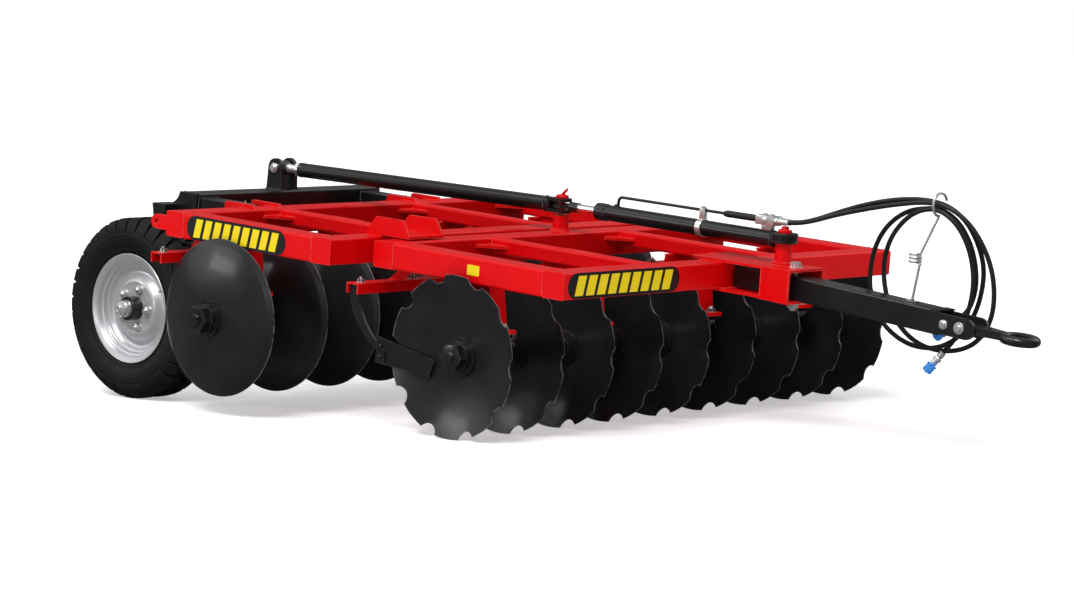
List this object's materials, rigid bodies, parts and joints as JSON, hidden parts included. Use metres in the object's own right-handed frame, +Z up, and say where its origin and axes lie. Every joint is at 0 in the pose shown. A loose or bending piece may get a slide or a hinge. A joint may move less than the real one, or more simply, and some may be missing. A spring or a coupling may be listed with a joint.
{
  "type": "disc harrow",
  "caption": "Trailed offset disc harrow with notched front and plain rear disc gangs, hydraulic lift wheels, a drawbar with a tow eye and coiled hoses.",
  "frame": {"origin": "on the ground under the middle of the rigid machine", "axes": "+X forward towards the tow eye, +Y to the machine's left, +Z up"},
  "size_m": [3.9942, 2.7044, 0.9552],
  "materials": {
    "black_paint": "satin black powder coat",
    "zinc_steel": "bright zinc plate",
    "rod_chrome": "hard chrome rod",
    "red_paint": "gloss red powder coat",
    "disc_steel": "dark grey painted spring steel",
    "hose_rubber": "black hose cover",
    "blue_plastic": "blue dust caps",
    "wheel_silver": "silver wheel paint",
    "tyre_rubber": "matt black tyre rubber"
  },
  "bodies": {
    "front_frame": {"cylinder_barrel": "black_paint", "frame_pivot_pin": "zinc_steel", "front_bearings": "black_paint", "front_frame_front_beam": "red_paint", "front_frame_gussets": "red_paint", "front_frame_inner_beams": "red_paint", "front_frame_left_beam": "red_paint", "front_frame_rear_beam": "red_paint", "front_frame_right_beam": "red_paint", "front_hangers": "red_paint", "front_post": "red_paint", "front_scraper_bar": "red_paint", "front_scrapers": "black_paint", "hose_far": "hose_rubber", "hose_far_cap": "blue_plastic", "hose_far_coupling": "zinc_steel", "hose_near": "hose_rubber", "hose_near_cap": "blue_plastic", "hose_near_coupling": "zinc_steel", "middle_post": "red_paint", "oil_line": "black_paint", "tongue": "black_paint", "tongue_clamp": "red_paint", "tongue_pins": "zinc_steel", "tow_eye": "black_paint", "wire_holder": "zinc_steel"},
    "rear_frame": {"rear_frame_axle_lugs": "red_paint", "rear_frame_front_beam": "red_paint", "rear_frame_gussets": "red_paint", "rear_frame_inner_beams": "red_paint", "rear_frame_left_beam": "red_paint", "rear_frame_rear_beam": "red_paint", "rear_frame_right_beam": "red_paint", "frame_guide": "red_paint", "rear_hangers": "red_paint", "rear_bearings": "black_paint", "rear_scraper_bar": "red_paint", "rear_scrapers": "black_paint", "axle_hinge_pins": "zinc_steel"},
    "axle_frame": {"axle_arms": "black_paint", "axle_clevis": "black_paint", "axle_cross_beam": "black_paint", "axle_left_leg": "black_paint", "axle_right_leg": "black_paint", "clevis_pin": "zinc_steel"},
    "right_wheel": {"right_hub": "black_paint", "right_hub_fittings": "zinc_steel", "right_rim": "wheel_silver", "right_tyre": "tyre_rubber"},
    "left_wheel": {"left_hub": "black_paint", "left_hub_fittings": "zinc_steel", "left_rim": "wheel_silver", "left_tyre": "tyre_rubber"},
    "front_gang": {"front_discs": "disc_steel", "front_gang_axle": "black_paint"},
    "rear_gang": {"rear_discs": "disc_steel", "rear_gang_axle": "black_paint"},
    "cylinder_rod": {"cylinder_rod": "rod_chrome"},
    "lift_link": {"lift_link": "black_paint", "link_pin": "red_paint"}
  },
  "joints": [
    {"name": "rear_frame_swing", "type": "hinge", "parent": "front_frame", "child": "rear_frame", "pos_m": [-0.33221, 0.72125, 0.61504], "axis": [0.072, 0, 0.9974], "range_deg": [-10, 0]},
    {"name": "axle_lift", "type": "hinge", "parent": "rear_frame", "child": "axle_frame", "pos_m": [-1.3238, -0.26375, 0.74679], "axis": [0, 1, 0], "range_deg": [0, 24]},
    {"name": "right_wheel_turn", "type": "hinge", "parent": "axle_frame", "child": "right_wheel", "pos_m": [-1.63209, -0.86575, 0.365], "axis": [0, 1, 0], "continuous": true},
    {"name": "left_wheel_turn", "type": "hinge", "parent": "axle_frame", "child": "left_wheel", "pos_m": [-1.63209, 0.33825, 0.365], "axis": [0, 1, 0], "continuous": true},
    {"name": "front_gang_turn", "type": "hinge", "parent": "front_frame", "child": "front_gang", "pos_m": [0.1432, 0.07125, 0.305], "axis": [0, 1, 0], "continuous": true},
    {"name": "rear_gang_turn", "type": "hinge", "parent": "rear_frame", "child": "rear_gang", "pos_m": [-0.94597, 0.07125, 0.38364], "axis": [0, 1, 0], "continuous": true},
    {"name": "cylinder_stroke", "type": "slide", "parent": "front_frame", "child": "cylinder_rod", "axis": [0.9974, 0, -0.072], "range_m": [0, 0.085]},
    {"name": "link_tilt", "type": "hinge", "parent": "axle_frame", "child": "lift_link", "pos_m": [-1.58735, -0.26375, 0.91521], "axis": [0, 1, 0], "range_deg": [-20.5, 0]}
  ],
  "couplings": [
    {"joint": "cylinder_stroke", "follows": "axle_lift", "m_per_rad": 0.1922},
    {"joint": "link_tilt", "follows": "axle_lift", "ratio": -0.8258}
  ]
}
